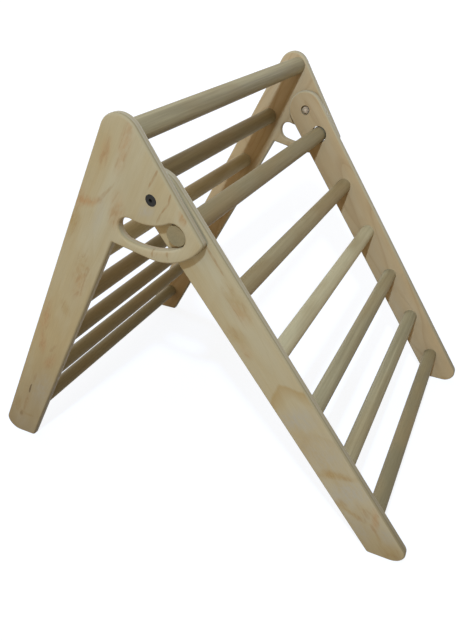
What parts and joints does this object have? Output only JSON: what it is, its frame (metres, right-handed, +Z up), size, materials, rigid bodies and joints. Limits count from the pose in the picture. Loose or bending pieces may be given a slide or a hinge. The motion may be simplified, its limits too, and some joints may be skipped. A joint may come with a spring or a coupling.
{
  "type": "climbing triangle",
  "caption": "Folding climbing triangle for small children: plywood side panels and a hinged ladder joined by round dowel rungs, the ladder stopped by a rung in a slot.",
  "frame": {"origin": "on the floor, midway between the outermost points of the rear and front feet and midway across the width", "axes": "+X towards the foot of the hinged ladder, +Y to the left of someone facing +X, +Z up"},
  "size_m": [0.9278, 0.6212, 0.7349],
  "materials": {
    "plywood": "sanded birch or pine plywood with a thin clear coat, layers showing on rounded edges",
    "dowel": "sanded turned dowel with a thin clear coat",
    "black_steel": "black coated steel",
    "bright_steel": "bright zinc plated steel"
  },
  "bodies": {
    "rear_frame": {"side_panel_right": "plywood", "side_panel_left": "plywood", "rear_rung_1": "dowel", "rear_rung_2": "dowel", "rear_rung_3": "dowel", "rear_rung_4": "dowel", "rear_rung_5": "dowel", "rear_rung_6": "dowel", "rear_rung_7": "dowel", "pivot_bolt_right": "black_steel", "pivot_spacer_right": "bright_steel", "nut_washer_right": "bright_steel", "lock_nut_right": "bright_steel", "pivot_bolt_left": "black_steel", "pivot_spacer_left": "bright_steel", "nut_washer_left": "bright_steel", "lock_nut_left": "bright_steel"},
    "front_ladder": {"ladder_rail_right": "plywood", "ladder_rail_left": "plywood", "stop_rung": "dowel", "ladder_rung_2": "dowel", "ladder_rung_3": "dowel", "ladder_rung_4": "dowel", "ladder_rung_5": "dowel", "ladder_rung_6": "dowel"}
  },
  "joints": [
    {"name": "ladder_fold", "type": "hinge", "parent": "rear_frame", "child": "front_ladder", "pos_m": [0.0286, 0, 0.62532], "axis": [0, 1, 0], "range_deg": [0, 50]}
  ]
}
